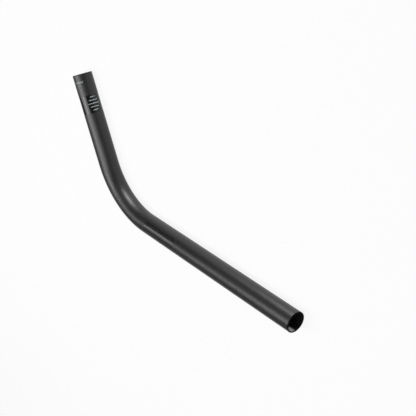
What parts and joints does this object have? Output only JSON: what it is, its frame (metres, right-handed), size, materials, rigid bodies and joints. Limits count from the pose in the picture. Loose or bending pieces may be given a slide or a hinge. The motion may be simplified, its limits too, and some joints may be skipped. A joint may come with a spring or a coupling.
{
  "type": "aero handlebar extension",
  "caption": "Bent open-ended tube that carries a rider's hands ahead of the bars: a long straight leg for the clamp, a single bend and a short grip leg, in satin black.",
  "frame": {"origin": "centre of the clamp end's mouth, on the tube's axis", "axes": "+X out of the clamp end along the straight leg, the bend turns towards +Y, +Z across the bend; the tube lies flat on its side"},
  "size_m": [0.3591, 0.1553, 0.0222],
  "materials": {
    "satin_black_laminate": "satin black lacquer over carbon-fibre laminate, with gloss black printed bands and marks"
  },
  "bodies": {
    "root": {"extension_tube": "satin_black_laminate"}
  },
  "joints": []
}
